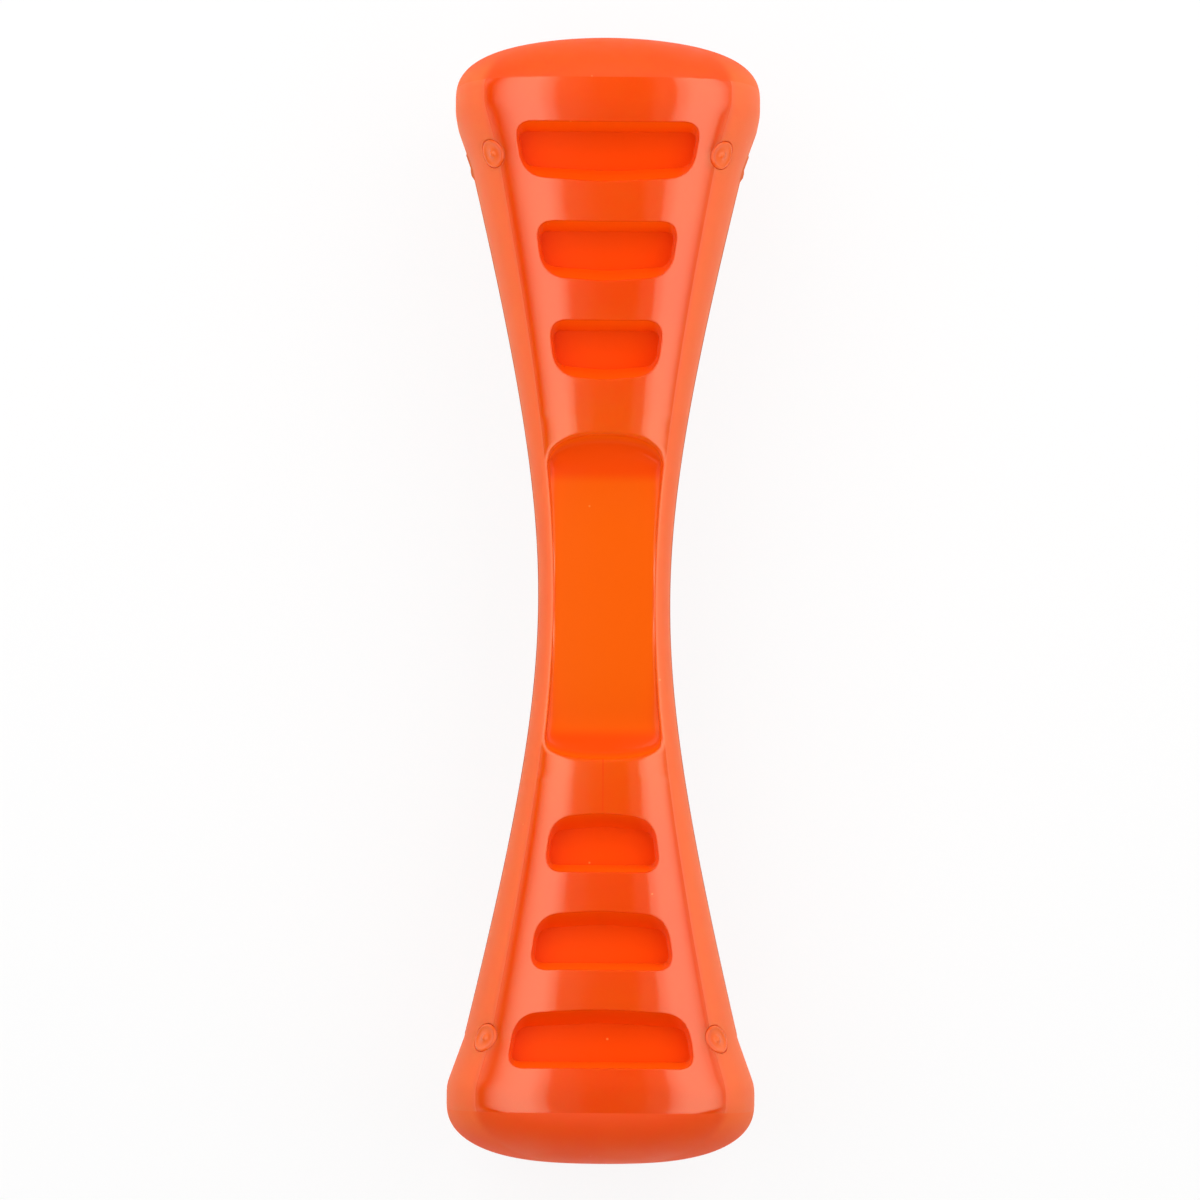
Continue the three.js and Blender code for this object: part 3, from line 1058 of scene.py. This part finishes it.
def shell_finish(spot, sink):
    """The number of the finish at a spot on a shell."""
    in_panel = abs(spot.y) < panel_half
    if sink > (PANEL_RIM if in_panel else HOLLOW_START):
        return HOLLOWS
    return TIPS if abs(spot.y) > land_end + TIP_START else SIDES


def make_shells():
    """Both half shells, each with finishes for its sides, its tips and its hollows, in this order."""
    finishes = [
        rubber("rubber_shell", SHELL_TONES, SHELL_FINISH),
        rubber("rubber_tip", TIP_TONES, TIP_FINISH),
        rubber("rubber_hollow", SHELL_TONES, HOLLOW_FINISH),
    ]
    skin = half_shell()
    for side, turned in (("front", False), ("back", True)):
        half = piece(f"shell_{side}", skin, turned, finishes, f"{side}_shell")
        sinks = half.data.attributes["sink"].data
        for face in half.data.polygons:
            sink = sum(sinks[v].value for v in face.vertices) / len(face.vertices)
            face.material_index = shell_finish(face.center / MM, sink)


def make_peg_heads():
    finishes = [rubber("rubber_peg", PEG_TONES, PEG_FINISH)]
    for face, up in (("front", 1), ("back", -1)):
        for end, way in (("top", 1), ("bottom", -1)):
            for hand, side in (("left", -1), ("right", 1)):
                place = f"{face}_{end}_{hand}"
                head = peg_head(side * up, way)
                piece(f"head_{place}", head, up < 0, finishes, f"peg_{place}")


def dress_core():
    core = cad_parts["core_spine"]
    core.data.materials.clear()
    core.data.materials.append(rubber("rubber_core", CORE_TONES, SHELL_FINISH))


# Stage, lights and camera

def make_floor():
    mesh = bpy.data.meshes.new("floor")
    half = FLOOR_SIZE / 2
    corners = [(-half, -half, 0), (half, -half, 0), (half, half, 0), (-half, half, 0)]
    mesh.from_pydata(corners, [], [(0, 1, 2, 3)])
    mesh.materials.append(floor_material())
    floor = bpy.data.objects.new("floor", mesh)
    bpy.context.scene.collection.objects.link(floor)


def make_world():
    """A room with pale walls at the stick's sides, dim ones past its ends and a dark ceiling."""
    world = bpy.data.worlds.new("studio")
    bpy.context.scene.world = world
    world.use_nodes = True
    tree = world.node_tree
    background = tree.nodes["Background"]
    background.inputs["Color"].default_value = WHITE
    direction = node(tree, "ShaderNodeTexCoord").outputs["Generated"]
    x, _, z = node(tree, "ShaderNodeSeparateXYZ", {"Vector": direction}).outputs
    wall = ramp(tree, maths(tree, "ABSOLUTE", x), *WALL_TURN, END_WALL_LIGHT, WALL_LIGHT)
    room = ramp(tree, z, WALL_TOP, CEILING_START, wall, CEILING_LIGHT)
    tree.links.new(room, background.inputs["Strength"])


def lamp(name, size, radiance):
    """A rectangular lamp that the camera can't see."""
    light = bpy.data.lights.new(name, "AREA")
    light.shape = "RECTANGLE"
    light.size, light.size_y = size
    light.energy = radiance * math.pi * size[0] * size[1]
    made = bpy.data.objects.new(name, light)
    bpy.context.scene.collection.objects.link(made)
    made.visible_camera = False
    return made


def softbox(name, across, radiance):
    """A lamp that hangs level over the stick, from one place to another across it."""
    made = lamp(name, (across[1] - across[0], LAMP_ALONG[1] - LAMP_ALONG[0]), radiance)
    made.location = (sum(across) / 2, sum(LAMP_ALONG) / 2, LAMP_HEIGHT)
    return made


def gleam(name, side, places, shares):
    """A lamp at one side that shows in the gloss alone, and fades to a share at each edge.
    places are its inner edge, the two places between which it is brightest and its outer edge."""
    inner, full, fading, outer = places
    width = outer - inner
    made = lamp(name, (width, GLEAM_ALONG[1] - GLEAM_ALONG[0]), LAMP_RADIANCE)
    made.location = (side * (inner + outer) / 2, sum(GLEAM_ALONG) / 2, GLEAM_HEIGHT)
    made.rotation_euler.z = 0 if side > 0 else math.pi
    made.visible_diffuse = False
    made.data.use_nodes = True
    tree = made.data.node_tree
    spot = node(tree, "ShaderNodeNewGeometry").outputs["Parametric"]
    outward = node(tree, "ShaderNodeSeparateXYZ", {"Vector": spot}).outputs["X"]
    rise = ramp(tree, outward, 0.0, (full - inner) / width, shares[0], 1.0)
    fall = ramp(tree, outward, (fading - inner) / width, 1.0, 1.0, shares[1])
    tree.links.new(maths(tree, "MULTIPLY", rise, fall), tree.nodes["Emission"].inputs["Strength"])


def end_fill(name, way):
    """A lamp past one end that faces the stick's middle, and doesn't show in its gloss."""
    made = lamp(name, END_FILL_SIZE, END_FILL_RADIANCE)
    made.location = (0, way * END_FILL_DISTANCE, END_FILL_HEIGHT)
    towards_stick = Vector((0, 0, end_radius * MM)) - made.location
    made.rotation_mode = "QUATERNION"
    made.rotation_quaternion = towards_stick.to_track_quat("-Z", "Y")
    made.visible_glossy = False


def make_lamps():
    """Softboxes at both sides with a dim gap over the middle, and fills past both ends."""
    for hand, across in (("left", LEFT_LAMP), ("right", RIGHT_LAMP)):
        made = softbox(f"{hand}_softbox", across, LAMP_RADIANCE)
        made.visible_glossy = False
    gleam("left_gleam", -1, LEFT_GLEAM, LEFT_GLEAM_SHARES)
    gleam("right_gleam", 1, RIGHT_GLEAM, RIGHT_GLEAM_SHARES)
    softbox("left_spill", LEFT_SPILL, SPILL_RADIANCE)
    softbox("right_spill", RIGHT_SPILL, SPILL_RADIANCE)
    end_fill("low_fill", -1)
    end_fill("top_fill", 1)


def make_camera():
    lens = bpy.data.cameras.new("camera")
    lens.sensor_width = SENSOR_WIDTH
    pixels = PIXELS_PER_MM / MM * CAMERA_DISTANCE
    lens.lens = lens.sensor_width * pixels / PHOTO_WIDTH
    lens.clip_end = CAMERA_REACH
    camera = bpy.data.objects.new("camera", lens)
    bpy.context.scene.collection.objects.link(camera)
    tilt = math.radians(CAMERA_ELEVATION)
    back = Vector((0, -math.cos(tilt), math.sin(tilt)))
    camera.location = Vector(CAMERA_AIM) * MM + back * CAMERA_DISTANCE
    turn = (-back).to_track_quat("-Z", "Y").to_matrix().to_4x4()
    roll = Matrix.Rotation(math.radians(CAMERA_ROLL), 4, "Z")
    camera.rotation_mode = "QUATERNION"
    camera.rotation_quaternion = (turn @ roll).to_quaternion()
    bpy.context.scene.camera = camera


make_shells()
make_peg_heads()
dress_core()
make_floor()
make_world()
make_lamps()
make_camera()
bpy.context.scene.view_settings.view_transform = "Standard"
